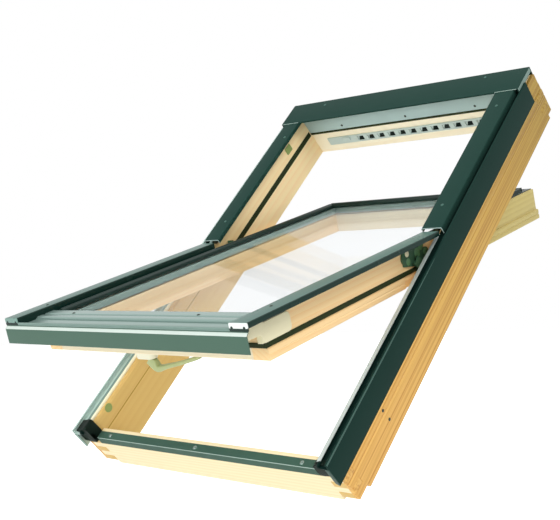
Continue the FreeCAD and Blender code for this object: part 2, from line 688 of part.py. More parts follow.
def sash_metal():
    for side, name in ((-1, "left"), (1, "right")):
        cover = new_body(f"{name}_sash_cover", moving=True)
        under = sash_cover_top - sheet_thick
        section = [
            (sash_cover_in, sash_height),
            (sash_cover_in + sheet_thick, sash_height),
            (sash_cover_in + sheet_thick, under),
            (sash_cover_out - sheet_thick, under),
            (sash_cover_out - sheet_thick, sash_cover_edge),
            (sash_cover_out, sash_cover_edge),
            (sash_cover_out, sash_cover_top),
            (sash_cover_in, sash_cover_top),
        ]
        extrude(cover, "y", [to_side(side, section)], sash_cover_foot, pivot_up + sash_cover_end)
    caps = new_body("cover_end_caps", moving=True)
    section = box((sash_cover_in, profile_floor + sheet_thick), (sash_cover_out, sash_cover_top))
    extrude(caps, "y", both_sides(section), sash_cover_foot - end_cap_thick, sash_cover_foot)

    profile = new_body("bottom_profile", moving=True)
    under = profile_floor - sheet_thick
    groove = profile_head - profile_line
    front = profile_head - profile_bead
    section = [
        (profile_head, sash_height),
        (sash_foot, sash_height),
        (sash_foot, under),
        (sash_cover_foot, under),
        (sash_cover_foot, profile_floor),
        (front, profile_floor),
        (front + sheet_thick, profile_height - sheet_thick),
        (front + 3 * sheet_thick, profile_height),
        (groove - 2 * sheet_thick, profile_height),
        (groove - sheet_thick, profile_height - sheet_thick),
        (groove + sheet_thick, profile_height - sheet_thick),
        (groove + 2 * sheet_thick, profile_height),
        (profile_head - 5 * sheet_thick, profile_height),
        (profile_head - 2 * sheet_thick, profile_height - 2 * sheet_thick),
    ]
    extrude(profile, "x", [section], -sash_cover_in, sash_cover_in)
    foot = box((rebate_foot, 0), (profile_head, sash_height))
    extrude(profile, "x", [foot], -rebate_in, rebate_in)

    apron = new_body("apron", moving=True)
    face = sash_cover_foot - apron_out
    brow = face + apron_bevel
    lid = profile_floor + sheet_thick
    inset = sheet_thick * 0.6
    section = [
        (sash_cover_foot + apron_flange, profile_floor),
        (sash_cover_foot + apron_flange, lid),
        (brow, lid),
        (brow, profile_floor),
    ]
    extrude(apron, "x", [section], -sash_cover_in, sash_cover_in)
    rib = box((brow, lid), (brow + sheet_thick, lid + apron_rib))
    extrude(apron, "x", [rib], -sash_cover_in, sash_cover_in)
    reach = sash_cover_out - end_cap_thick
    front = [
        (brow + inset, lid),
        (brow, lid),
        (face, lid - apron_drop),
        (face, -apron_depth),
        (face + sheet_thick, -apron_depth),
        (face + sheet_thick, lid - apron_drop - inset),
        (brow + inset, profile_floor),
    ]
    extrude(apron, "x", [front], -reach, reach)


def sash_fittings():
    gasket = new_body("sash_gasket", moving=True)
    out = stile_out + gasket_thick
    side = [(stile_out, lip_top), (out, lip_top), (out, lip_top + gasket_depth / 2), (stile_out, lip_top + gasket_depth)]
    extrude(gasket, "y", both_sides(side), sash_foot, seal_foot)
    foot = box((sash_foot - gasket_thick, lip_top), (sash_foot, lip_top + gasket_depth))
    extrude(gasket, "x", [foot], -out, out)

    blocks = new_body("corner_blocks", moving=True)
    low = lip_top + gasket_depth
    end = sash_foot + block_length
    outline = [
        (sash_foot, 0),
        (end, 0),
        (end, low + block_corner),
        (end - block_corner * 0.13, low + block_corner * 0.5),
        (end - block_corner * 0.5, low + block_corner * 0.13),
        (end - block_corner, low),
        (sash_foot, low),
    ]
    foot = sash_foot - block_past
    rest = sheet_thick - sill_depth + cover_gap
    nose = [
        (sash_foot, sash_height),
        (foot, sash_height),
        (foot, rest),
        (sill_in + cover_gap, rest),
        (sill_in + cover_gap, low),
        (sash_foot, low),
    ]
    outer = stile_out + block_thick
    extrude(blocks, "x", [outline], -outer, -stile_out)
    extrude(blocks, "x", [outline], stile_out, outer)
    extrude(blocks, "x", [nose], -outer, block_wall - outer)
    extrude(blocks, "x", [nose], outer - block_wall, outer)

    base = new_body("handle_base", moving=True)
    low = -sash_depth - base_thick
    reach = (base_length - base_width) / 2
    middle = -handle_side - base_shift
    plate = box((middle - reach, handle_up - base_width / 2), (middle + reach, handle_up + base_width / 2))
    extrude(base, "z", [plate], low, -sash_depth)
    for end in (middle - reach, middle + reach):
        extrude(base, "z", [((end, handle_up), base_width / 2)], low, -sash_depth)

    lever = new_body("handle_lever", moving=True)
    face = low - hinge_gap
    outline = [(a * handle_reach - handle_side, face + b * handle_height) for a, b in lever_spots]
    extrude(lever, "y", [outline], handle_up - handle_width / 2, handle_up + handle_width / 2)
    extrude(lever, "z", [((-handle_side, handle_up), neck_radius)], face - handle_height * 0.3, face)


timber_frame()
frame_metal()
frame_fittings()
pivot_hinges()
sash_timber()
sash_glass()
sash_metal()
sash_fittings()
doc.recompute()

# The roof slope tilts the whole window about the middle of the sill's lower face, and the sash
# turns about the pivot line.
along = FreeCAD.Vector(1, 0, 0)
tilt = FreeCAD.Rotation(along, roof_pitch.number)
swing = FreeCAD.Rotation(along, -open_angle.number)
sill_face = FreeCAD.Vector(0, -half_height.number, -(sill_depth + frame_depth).number / 2)
pivot = FreeCAD.Vector(0, pivot_up.number, pivot_out.number)
to_roof = FreeCAD.Placement(tilt.multVec(-sill_face), tilt)
to_open = FreeCAD.Placement(pivot - swing.multVec(pivot), swing)
for body, moving in subparts:
    body.Placement = to_roof * to_open if moving else to_roof
doc.recompute()

for item in doc.Objects:
    if {"Invalid", "Error"} & set(item.State):
        raise RuntimeError(f"{item.Label} did not build: {item.State}")
for cut in cuts:
    if cut.BaseFeature.Shape.Volume - cut.Shape.Volume < 1:
        raise RuntimeError(f"{cut.Label} removes nothing")
os.makedirs("parts", exist_ok=True)
for body, moving in subparts:
    if body.Shape.isNull() or not body.Shape.isValid():
        raise RuntimeError(f"{body.Label} has no valid shape")
    body.Shape.exportStep(f"parts/{body.Label}.step")
print("pieces", len(subparts))
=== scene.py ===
import math

import bmesh
import bpy
import numpy as np
from mathutils import Matrix, Vector


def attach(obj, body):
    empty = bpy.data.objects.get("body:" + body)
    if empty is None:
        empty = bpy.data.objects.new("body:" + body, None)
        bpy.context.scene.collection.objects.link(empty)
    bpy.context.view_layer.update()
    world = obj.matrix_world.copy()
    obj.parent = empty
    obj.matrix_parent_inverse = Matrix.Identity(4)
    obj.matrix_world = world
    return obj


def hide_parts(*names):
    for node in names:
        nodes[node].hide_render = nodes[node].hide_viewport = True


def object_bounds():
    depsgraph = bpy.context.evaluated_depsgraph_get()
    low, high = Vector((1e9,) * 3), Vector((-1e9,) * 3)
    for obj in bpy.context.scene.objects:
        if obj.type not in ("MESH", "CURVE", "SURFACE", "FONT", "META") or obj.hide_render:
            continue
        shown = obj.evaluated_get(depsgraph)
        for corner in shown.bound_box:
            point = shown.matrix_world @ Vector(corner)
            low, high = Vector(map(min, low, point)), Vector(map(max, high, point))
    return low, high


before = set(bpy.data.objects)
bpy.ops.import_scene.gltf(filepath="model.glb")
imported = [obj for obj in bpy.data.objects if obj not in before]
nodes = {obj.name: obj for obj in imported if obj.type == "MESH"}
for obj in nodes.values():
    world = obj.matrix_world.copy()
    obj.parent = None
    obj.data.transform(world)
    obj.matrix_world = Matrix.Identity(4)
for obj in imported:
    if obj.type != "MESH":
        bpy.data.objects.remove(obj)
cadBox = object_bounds()  # the solids' own box
mm = 0.001
print("frame loaded:", len(nodes), "nodes")

# flat drawing of the closed window in mm: u across, v up the slope from the middle, w outwards
window = {
    "halfHeight": 590,
    "sillDepth": 28,  # outer face of the sill below the jambs' weather face
    "frameDepth": 127,  # inner face of the frame below it
    "pitch": math.radians(45),
    "openAngle": math.radians(30),
    "pivotUp": 8,
    "pivotOut": 28,
}


def roofPoint(u, v, w):  # moves the sill's middle to the origin, then tilts by the roof pitch
    up = np.asarray(v, float) + window["halfHeight"]
    out = np.asarray(w, float) + (window["sillDepth"] + window["frameDepth"]) / 2
    cosine, sine = math.cos(window["pitch"]), math.sin(window["pitch"])
    spots = np.broadcast_arrays(np.asarray(u, float), up * cosine - out * sine, up * sine + out * cosine)
    return np.stack(spots, axis=-1) * mm


def sashPoint(u, v, w):  # turns about the pivot line, then tilts with the roof
    along = np.asarray(v, float) - window["pivotUp"]
    above = np.asarray(w, float) - window["pivotOut"]
    cosine, sine = math.cos(window["openAngle"]), math.sin(window["openAngle"])
    return roofPoint(u, along * cosine + above * sine + window["pivotUp"],
                     above * cosine - along * sine + window["pivotOut"])


places = {"frame": roofPoint, "sash": sashPoint, "handle": sashPoint}

# camera fitted to the photo: place and axes in the flat drawing
viewSetup = {
    "lens": 66.12,  # mm on a 36 mm wide sensor
    "centre": (1619.5, -1382.3, 1320.6),
    "right": (0.7423, 0.4525, -0.4942),
    "down": (-0.0261, -0.7174, -0.6962),
    "ahead": (-0.6696, 0.5297, -0.5207),
    "farEnd": 50,  # metres
}


def addCamera():
    origin = roofPoint(0, 0, 0)
    right, down, ahead = [(roofPoint(*viewSetup[key]) - origin) / mm for key in ("right", "down", "ahead")]
    axes = Matrix((right, -down, -ahead)).transposed()
    camera = bpy.data.objects.new("camera", bpy.data.cameras.new("camera"))
    camera.data.lens = viewSetup["lens"]
    camera.data.clip_end = viewSetup["farEnd"]
    camera.matrix_world = Matrix.Translation(Vector(roofPoint(*viewSetup["centre"]))) @ axes.to_4x4()
    bpy.context.collection.objects.link(camera)
    bpy.context.scene.camera = camera


def feed(tree, node, sources):  # links sockets to a node's inputs, or writes numbers into them
    for key, value in dict(sources).items():
        if isinstance(value, bpy.types.NodeSocket):
            tree.links.new(value, node.inputs[key])
        else:
            node.inputs[key].default_value = value


def addNode(tree, kind, sources=(), **settings):
    made = tree.nodes.new("ShaderNode" + kind)
    for key, value in settings.items():
        setattr(made, key, value)
    feed(tree, made, sources)
    return made


def work(tree, operation, *values):  # one sum of a Math node
    return addNode(tree, "Math", dict(enumerate(values)), operation=operation).outputs[0]


def spread(tree, value, low, high, start=0.0, end=1.0):  # carries start..end over to low..high
    return addNode(tree, "MapRange", {
        "Value": value, "From Min": start, "From Max": end, "To Min": low, "To Max": high}).outputs["Result"]


# light and floor, in metres
studio = {
    "aim": (0, 0.3, 0.4),  # about the middle of the window
    "worldLight": 0.74,
    "lamps": {
        "keyLight": {"power": 30, "size": 2.4, "place": (-1.6, -2.6, 3.2)},
        "fillLight": {"power": 46, "size": 2.0, "place": (3.0, -0.8, 3.2)},
        "frontLight": {"power": 130, "size": 3.0, "place": (0.6, -6.0, 0.6)},
        "topLight": {"power": 14, "size": 2.6, "place": (0.3, 1.8, 3.6)},
    },
}
paleFloor = {
    "drop": 0.30,  # floor below the window, which is held by its roof
    "radius": 9.0, "corners": 96, "middle": (0, 0.3),
    "tone": 0.93, "roughness": 0.9, "glow": 0.55,
}


def paleForView(tree):  # 1 for rays that see the background straight, in gloss or through glass
    path = addNode(tree, "LightPath")
    direct = work(tree, "MAXIMUM", path.outputs["Is Camera Ray"], path.outputs["Is Glossy Ray"])
    return work(tree, "MAXIMUM", direct, path.outputs["Is Transmission Ray"])


def addStudio():
    world = bpy.data.worlds.new("studio")
    bpy.context.scene.world = world
    world.use_nodes = True
    tree = world.node_tree
    strength = spread(tree, paleForView(tree), studio["worldLight"], 1.0)
    feed(tree, tree.nodes["Background"], {"Color": (1, 1, 1, 1), "Strength": strength})
    for name, values in studio["lamps"].items():
        light = bpy.data.lights.new(name, "AREA")
        light.shape = "DISK"
        light.size = values["size"]
        light.energy = values["power"]
        lamp = bpy.data.objects.new(name, light)
        lamp.location = values["place"]
        aim = Vector(studio["aim"]) - lamp.location
        lamp.rotation_euler = aim.to_track_quat("-Z", "Y").to_euler()
        bpy.context.collection.objects.link(lamp)
    bpy.context.scene.view_settings.view_transform = "Standard"


def addFloor():  # a disc: its rim is the radius times the cosine and sine of the angle
    angle = np.linspace(0, 2 * math.pi, paleFloor["corners"], endpoint=False)
    rim = np.stack([np.cos(angle), np.sin(angle), np.zeros_like(angle)], axis=-1) * paleFloor["radius"]
    rim += np.array([*paleFloor["middle"], cadBox[0][2] - paleFloor["drop"]])
    mesh = bpy.data.meshes.new("floor")
    mesh.from_pydata(rim.tolist(), [], [list(range(len(rim)))])
    floor = bpy.data.objects.new("floor", mesh)
    bpy.context.collection.objects.link(floor)
    paint = bpy.data.materials.new("paleFloor")
    paint.use_nodes = True
    tree = paint.node_tree
    tone = paleFloor["tone"]
    feed(tree, tree.nodes["Principled BSDF"], {
        "Base Color": (tone, tone, tone, 1), "Roughness": paleFloor["roughness"],
        "Emission Color": (1, 1, 1, 1),
        "Emission Strength": spread(tree, paleForView(tree), 0.0, paleFloor["glow"])})
    mesh.materials.append(paint)


addCamera()
addStudio()
addFloor()
print("camera, lights and floor placed")


def linear(red, green, blue):  # screen colour 0..255 to the renderer's own scale
    value = np.array([red, green, blue]) / 255
    straight = np.where(value <= 0.04045, value / 12.92, ((value + 0.055) / 1.055) ** 2.4)
    return (*straight.tolist(), 1.0)


def newFinish(name):
    finish = bpy.data.materials.new(name)
    finish.use_nodes = True
    tree = finish.node_tree
    where = addNode(tree, "TexCoord").outputs["Object"]
    return finish, tree, tree.nodes["Principled BSDF"], where


def mixColours(tree, share, first, second):
    return addNode(tree, "Mix", {"Factor": share, 6: first, 7: second}, data_type="RGBA").outputs[2]


def mixTones(tree, share, tones):  # between two screen colours
    return mixColours(tree, share, *[linear(*tone) for tone in tones])


def shaded(tree, colour, shade):  # a colour times a number
    plain = colour if isinstance(colour, bpy.types.NodeSocket) else colour[:3]
    return addNode(tree, "VectorMath", {0: plain, "Scale": shade}, operation="SCALE").outputs[0]


def noise(tree, where, scale, detail):
    return addNode(tree, "TexNoise", {"Vector": where, "Scale": scale, "Detail": detail}).outputs["Fac"]


def stretched(tree, where, scale, shift=(0, 0, 0)):
    return addNode(tree, "Mapping", {"Vector": where, "Scale": scale, "Location": shift}).outputs[0]


def addBump(tree, surface, height, strength, distance):
    bump = addNode(tree, "Bump", {"Height": height, "Strength": strength, "Distance": distance})
    feed(tree, surface, {"Normal": bump.outputs["Normal"]})


# scales are along the grain, across it and through the board
timberLook = {
    "driftScale": (1.6, 12, 12), "fibreScale": (14, 700, 700), "streakScale": (1.1, 190, 190),
    "ringScale": (2.2, 30, 30), "pith": (0, 2.1, 5.3), "ringWobble": 2.6,
    "outside": ((232, 184, 100), (186, 126, 54)),  # bare outer faces of the jambs, low and then high
    "outsideHead": ((168, 140, 62), (134, 98, 34)), "outsideRun": (150, 1250),
    "outsideFrom": 380,  # distance from the middle where they begin
    "gloss": 0.3,
}
stileTones = ((255, 221, 164), (248, 196, 130))
# early and late wood on screen; painted light and shade: other tones take over between two places up the
# board, so the jambs are darker low down in the sash's shade and paler above it, and the stiles' far ends are
# darker in shade
boards = {
    "jambPine": {"grain": "along", "body": "frame", "tones": ((216, 182, 108), (208, 168, 94)),
                 "paintedLightTones": ((255, 230, 178), (252, 208, 150)), "paintedLightRun": (350, 800), "bareOutside": True},
    "headPine": {"grain": "across", "body": "frame", "tones": ((254, 246, 218), (248, 230, 190)),
                 "bareOutside": True},
    "sillPine": {"grain": "across", "body": "frame", "tones": ((248, 232, 190), (232, 206, 150)),
                 "bareOutside": True},
    "battenPine": {"grain": "along", "body": "frame", "tones": ((52, 60, 44), (40, 48, 34))},
    "stilePine": {"grain": "along", "body": "sash", "tones": stileTones,
                  "paintedLightTones": ((198, 182, 114), (176, 156, 90)), "paintedLightRun": (520, 640)},
    "leftStilePine": {"grain": "along", "body": "sash", "tones": stileTones},
    "sashRailPine": {"grain": "across", "body": "sash", "tones": ((244, 232, 200), (228, 210, 168))},
}
leans = {"frame": window["pitch"], "sash": window["pitch"] - window["openAngle"]}


def pineFinish(name, grain, body, tones, paintedLightTones=(), paintedLightRun=(), bareOutside=False):
    # rings stand round a pith line beside the board and run with the grain
    # fibres are noise drawn out along it
    finish, tree, surface, where = newFinish(name)
    cosine, sine = math.cos(leans[body]), math.sin(leans[body])
    across, up, out = (1, 0, 0), (0, cosine, sine), (0, -sine, cosine)
    axes = {"along": (up, across, out), "across": (across, up, out)}[grain]
    parts = [addNode(tree, "VectorMath", {0: where, 1: axis}, operation="DOT_PRODUCT") for axis in axes]
    run, side, deep = [part.outputs["Value"] for part in parts]
    board = addNode(tree, "CombineXYZ", {"X": run, "Y": side, "Z": deep}).outputs[0]
    drift = noise(tree, stretched(tree, board, timberLook["driftScale"]), 1.0, 3.0)
    fibre = noise(tree, stretched(tree, board, timberLook["fibreScale"]), 1.0, 4.0)
    rings = addNode(tree, "TexWave", {
        "Vector": stretched(tree, board, timberLook["ringScale"], timberLook["pith"]),
        "Scale": 1.0, "Distortion": timberLook["ringWobble"], "Detail": 2.0, "Detail Scale": 0.5,
    }, wave_type="RINGS", rings_direction="X", wave_profile="SAW").outputs["Fac"]
    lateWood = work(tree, "MULTIPLY", spread(tree, rings, 0.04, 0.85, start=0.35), fibre)
    colour = mixTones(tree, lateWood, tones)
    # painted light and shade: the other tones take over up the board
    if paintedLightTones:
        climb = risingShare(tree, run, paintedLightRun)
        colour = mixColours(tree, climb, colour, mixTones(tree, lateWood, paintedLightTones))
    if bareOutside:
        distance = work(tree, "ABSOLUTE", addNode(tree, "SeparateXYZ", {"Vector": where}).outputs["X"])
        outside = work(tree, "GREATER_THAN", distance, timberLook["outsideFrom"] * mm)
        colour = mixColours(tree, outside, colour, bareTone(tree, board, run if grain == "along" else side))
    feed(tree, surface, {
        "Base Color": shaded(tree, colour, spread(tree, drift, 0.94, 1.05)),
        "Roughness": spread(tree, fibre, 0.4, 0.6), "Specular IOR Level": timberLook["gloss"]})
    addBump(tree, surface, fibre, 0.1, 0.0005)
    return finish


def risingShare(tree, height, run):  # 0 to 1 between two places in mm
    low, high = run
    return spread(tree, height, 0.0, 1.0, low * mm, high * mm)


def bareTone(tree, board, height):  # long streaks between two tones, which change with height
    streak = noise(tree, stretched(tree, board, timberLook["streakScale"]), 1.0, 5.0)
    stain = spread(tree, streak, 0.0, 1.0, 0.42, 0.72)
    climb = risingShare(tree, height, timberLook["outsideRun"])
    low, high = [mixTones(tree, stain, timberLook[key]) for key in ("outside", "outsideHead")]
    return mixColours(tree, climb, low, high)


# screen colours; zones are other colours between two places across, in mm, and every zone here is painted
# light and shade
paints = {
    "coverPaint": {"colour": (34, 62, 55), "gloss": 0.03},
    "sashPaint": {"colour": (16, 44, 37), "roughness": 0.26, "gloss": 0.16},
    "trimPaint": {"colour": (22, 44, 38), "roughness": 0.3},
    # the zones paint light and shade: the left gutter's inner wall lighter as a painted reflection, the
    # gutter floors near black as painted shade
    "gutterPaintLightAndShade": {"colour": (26, 52, 46), "gloss": 0.03,
                    "zones": [(-388.6, -369, (196, 220, 212)), (-369, 386, (18, 40, 36))]},
    # painted highlight along the flashing folds, lighter still on the left
    "lipHighlightPaint": {"colour": (70, 98, 90), "gloss": 0.05, "zones": [(-389.6, 0, (150, 174, 163))]},
    "sillPaint": {"colour": (66, 94, 82), "gloss": 0.02},
    # painted highlight along folded edges
    "foldHighlight": {"colour": (168, 192, 182), "roughness": 0.3},
    # a lighter tone: a painted sheen on the sash covers' tops, and the colour of the cover screws
    "sheenAndScrewTone": {"colour": (76, 110, 101), "roughness": 0.28, "gloss": 0.1},
    # painted shade below the foot's bead and rib, in the same tone as the rib's tube and the hood's end
    # plates
    "footShadeAndTrim": {"colour": (118, 142, 134), "roughness": 0.4},
    "grooveShade": {"colour": (176, 142, 66), "roughness": 0.6, "gloss": 0.02},
    # the left flashing end is painted lighter, as painted light on it
    "endPaintLeftLit": {"colour": (44, 72, 64), "zones": [(-400, 0, (132, 160, 150))]},
    "stripPaint": {"colour": (168, 192, 188), "roughness": 0.4},
    "spacerMetal": {"colour": (150, 172, 166), "roughness": 0.4},
    "footMetal": {"colour": (136, 160, 153), "roughness": 0.26, "metallic": 0.4, "speckle": 0.04},
    "browHighlight": {"colour": (200, 213, 205), "roughness": 0.4},
    "apronPaint": {"colour": (76, 104, 90), "roughness": 0.36, "gloss": 0.1, "speckle": 0.03},
    # the left strip is painted light and shade: darker on its outer part, cream where light falls on its
    # inner edge
    "brushStripAndLight": {"colour": (196, 207, 203), "roughness": 0.6,
                   "zones": [(-400, -361, (118, 146, 138)), (-361, 0, (246, 240, 208))]},
    "inletPlastic": {"colour": (190, 206, 198), "roughness": 0.5},
    "creamPlastic": {"colour": (238, 231, 194), "roughness": 0.42, "speckle": 0.03},
    "hingeMetal": {"colour": (62, 98, 72), "roughness": 0.22, "gloss": 0.5},
    "hingeGloss": {"colour": (92, 136, 92), "roughness": 0.14, "gloss": 0.6},
    "oliveMetal": {"colour": (140, 158, 92), "roughness": 0.4},
    "handlePaint": {"colour": (232, 230, 206), "roughness": 0.32, "gloss": 0.4, "speckle": 0.03},
    # the lever is painted olive, darker than the rose, as painted shade on its blade
    "leverShadedPaint": {"colour": (168, 179, 124), "roughness": 0.34, "gloss": 0.4, "speckle": 0.03},
    # the left cover end is painted darker, as painted shade on its face
    "capMetalLeftShaded": {"colour": (226, 234, 230), "roughness": 0.3, "zones": [(-400, 0, (120, 152, 142))]},
    "darkScrew": {"colour": (58, 66, 56), "roughness": 0.35, "metallic": 0.4},
    "screwSteel": {"colour": (140, 160, 152), "roughness": 0.25, "metallic": 0.6},
}


def paintFinish(name, colour, roughness=0.34, metallic=0.0, gloss=0.2, speckle=0.08, zones=()):
    # powder coat: a fine pebbled bump with a slow change of tone
    finish, tree, surface, where = newFinish(name)
    slow = noise(tree, where, 9.0, 3.0)
    pebble = noise(tree, where, 1500.0, 2.0)
    tone = linear(*colour)
    across = addNode(tree, "SeparateXYZ", {"Vector": where}).outputs["X"] if zones else None
    # painted light and shade: each zone swaps the tone between two places across
    for low, high, other in zones:
        past = work(tree, "GREATER_THAN", across, low * mm)
        short = work(tree, "LESS_THAN", across, high * mm)
        tone = mixColours(tree, work(tree, "MULTIPLY", past, short), tone, linear(*other))
    feed(tree, surface, {
        "Base Color": shaded(tree, tone, spread(tree, slow, 1 - speckle, 1 + speckle)),
        "Roughness": spread(tree, slow, roughness - 0.04, roughness + 0.04),
        "Metallic": metallic, "Specular IOR Level": gloss})
    addBump(tree, surface, pebble, 0.05, 0.0002)
    return finish


# the black rubber tone also fills the inlet slots as painted shade
rubbers = {"sealRubberAndSlotShade": (14, 28, 22), "oliveRubber": (40, 50, 26)}


def rubberFinish(name, colour):  # cloudy tone and sheen from one noise
    finish, tree, surface, where = newFinish(name)
    cloud = noise(tree, where, 60.0, 4.0)
    feed(tree, surface, {
        "Base Color": shaded(tree, linear(*colour), spread(tree, cloud, 0.7, 1.4)),
        "Roughness": spread(tree, cloud, 0.45, 0.65), "Specular IOR Level": 0.1})
    addBump(tree, surface, cloud, 0.1, 0.0005)
    return finish


paneLook = {"tint": (0.975, 0.984, 0.988, 1), "bending": 1.04, "gloss": 0.2, "haze": 0.03}


def glassFinish(name):  # clear pane; a faint film of dust lifts the roughness a little
    finish, tree, surface, where = newFinish(name)
    film = noise(tree, where, 5.0, 3.0)
    feed(tree, surface, {
        "Base Color": paneLook["tint"], "Roughness": spread(tree, film, 0.0, paneLook["haze"]),
        "Transmission Weight": 1.0, "IOR": paneLook["bending"], "Specular IOR Level": paneLook["gloss"]})
    return finish


finishes = {name: pineFinish(name, **values) for name, values in boards.items()}
finishes.update({name: paintFinish(name, **values) for name, values in paints.items()})
finishes.update({name: rubberFinish(name, colour) for name, colour in rubbers.items()})
finishes["clearGlass"] = glassFinish("clearGlass")

# the solids that stay in view; the others get pieces of their own below
shownNodes = {
    "battenPine": ["cover_battens"],
    "sillPaint": ["sill_cover"],
    "stripPaint": ["head_strip"],
    "spacerMetal": ["glass_spacer"],
    "clearGlass": ["outer_pane", "inner_pane"],
    "inletPlastic": ["air_inlet"],
    "hingeMetal": ["left_pivot_plate", "right_pivot_plate", "left_pivot_arm", "right_pivot_arm"],
}
for look, names in shownNodes.items():
    for name in names:
        nodes[name].data.materials.clear()
        nodes[name].data.materials.append(finishes[look])
print("finishes made:", len(finishes))

sides = {"left": -1, "right": 1}
sheetThick = 1.5
mergeGap = 0.01 * mm


def roundCorners(points, radius, steps=5):
    # every corner becomes a curve (1-t)^2 start + 2t(1-t) corner + t^2 end between two tangent points
    spots = np.asarray(points, float)
    back = np.roll(spots, 1, axis=0) - spots
    ahead = np.roll(spots, -1, axis=0) - spots
    backLength = np.linalg.norm(back, axis=1, keepdims=True)
    aheadLength = np.linalg.norm(ahead, axis=1, keepdims=True)
    reach = np.minimum(radius, 0.48 * np.minimum(backLength, aheadLength))  # short of half an edge
    start = (spots + back / backLength * reach)[:, None]
    end = (spots + ahead / aheadLength * reach)[:, None]
    share = np.linspace(0, 1, steps)[None, :, None]
    curve = (1 - share) ** 2 * start + 2 * share * (1 - share) * spots[:, None] + share ** 2 * end
    return curve.reshape(-1, 2)


def circleOutline(radius, count=24):
    angle = np.linspace(0, 2 * math.pi, count, endpoint=False)
    return np.stack([radius * np.cos(angle), radius * np.sin(angle)], axis=-1)


def box(low, high):
    return [low, (high[0], low[1]), high, (low[0], high[1])]


def channel(inner, outer, top, innerFoot, outerFoot):  # a folded sheet: a flat top with a leg at either edge
    return [(inner, innerFoot), (inner + sheetThick, innerFoot), (inner + sheetThick, top - sheetThick),
            (outer - sheetThick, top - sheetThick), (outer - sheetThick, outerFoot), (outer, outerFoot),
            (outer, top), (inner, top)]


def insetOutline(outline, distance):  # moves each point along the mean of its two edge normals
    spots = np.asarray(outline, float)
    run = np.roll(spots, -1, axis=0) - np.roll(spots, 1, axis=0)
    run /= np.linalg.norm(run, axis=1, keepdims=True)
    inward = np.stack([-run[:, 1], run[:, 0]], axis=-1)
    area = (spots[:, 0] * np.roll(spots[:, 1], -1) - np.roll(spots[:, 0], -1) * spots[:, 1]).sum()
    return spots + distance * math.copysign(1, area) * inward


def ringFaces(rings, count, first):  # quads between neighbouring closed rings, with both ends closed
    index = first + np.arange(rings * count).reshape(rings, count)
    beside = np.roll(index, -1, axis=1)
    quads = np.stack([index[:-1], beside[:-1], beside[1:], index[1:]], axis=-1).reshape(-1, 4)
    return quads.tolist() + [index[0, ::-1].tolist(), index[-1].tolist()]


def buildPiece(name, body, look, grids, stands=(), sharpAngle=32):
    # grids are arrays of rings x points x 3, each a closed skin
    spots, faces, first = [], [], 0
    for grid in grids:
        rings, count = grid.shape[:2]
        spots.append(grid.reshape(-1, 3))
        faces += ringFaces(rings, count, first)
        first += rings * count
    mesh = bpy.data.meshes.new(name)
    mesh.from_pydata(np.concatenate(spots).tolist(), [], faces)
    return finishPiece(name, body, look, mesh, stands, sharpAngle)


def finishPiece(name, body, look, mesh, stands, sharpAngle):
    shell = bmesh.new()
    shell.from_mesh(mesh)
    bmesh.ops.remove_doubles(shell, verts=shell.verts, dist=mergeGap)
    bmesh.ops.recalc_face_normals(shell, faces=shell.faces)
    shell.to_mesh(mesh)
    shell.free()
    mesh.polygons.foreach_set("use_smooth", np.ones(len(mesh.polygons), bool))
    mesh.set_sharp_from_angle(angle=math.radians(sharpAngle))
    mesh.materials.append(finishes[look])
    piece = bpy.data.objects.new(name, mesh)
    bpy.context.collection.objects.link(piece)
    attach(piece, body)
    if stands:
        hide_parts(*stands)
    return piece


def sweepAlong(body, outline, low, high, side=1):  # an outline in (u, w) carried up the slope
    u, w = np.asarray(outline, float).T
    return places[body](side * u[None], np.array([low, high], float)[:, None], w[None])


def sweepBoth(body, outline, low, high):  # the same at the left and the right
    return [sweepAlong(body, outline, low, high, side) for side in sides.values()]


def sweepAcross(body, outline, low, high):  # an outline in (v, w) carried across the window
    v, w = np.asarray(outline, float).T
    return places[body](np.array([low, high], float)[:, None], v[None], w[None])


def sweepWhole(body, outline, half):  # the same from one side to the other
    return sweepAcross(body, outline, -half, half)


def roundedRun(body, outline, low, high, side, lowEdge, highEdge):
    # an outline in (u, w) carried up the slope, whose ends draw in by a quarter circle
    turn = np.linspace(0, math.pi / 2, 5)
    inset = np.concatenate([lowEdge * (1 - np.sin(turn)), highEdge * (1 - np.cos(turn))])
    level = np.concatenate([low + lowEdge * (1 - np.cos(turn)), high - highEdge + highEdge * np.sin(turn)])
    rings = np.stack([insetOutline(outline, step) for step in inset])
    return places[body](side * rings[..., 0], level[:, None], rings[..., 1])


def pillow(outline, base, height, edge, steps=5):
    # rings of an outline that rises from base and rolls over by a quarter circle of the edge radius
    turn = np.linspace(0, math.pi / 2, steps)
    roll = math.copysign(edge, height)
    inset = np.concatenate([[0], edge * (1 - np.cos(turn))])
    level = np.concatenate([[base], base + (height - roll) + roll * np.sin(turn)])
    flat = np.stack([insetOutline(outline, step) for step in inset])
    return flat, np.broadcast_to(level[:, None], flat.shape[:2])


def pillowsOnSides(body, outline, base, height, edge):  # outline in (v, w), rising across at both sides
    flat, level = pillow(outline, base, height, edge)
    return [places[body](side * level, flat[..., 0], flat[..., 1]) for side in sides.values()]


def pillowOnFace(body, outline, base, height, edge):  # outline in (u, v), rising outwards or inwards
    flat, level = pillow(outline, base, height, edge)
    return places[body](flat[..., 0], flat[..., 1], level)


def pillowOnEnd(body, outline, base, height, edge, side=1):  # outline in (u, w), rising up or down the slope
    flat, level = pillow(outline, base, height, edge)
    return places[body](side * flat[..., 0], level, flat[..., 1])


def pillowsOnEnds(body, outline, base, height, edge):  # the same at the left and the right
    return [pillowOnEnd(body, outline, base, height, edge, side) for side in sides.values()]


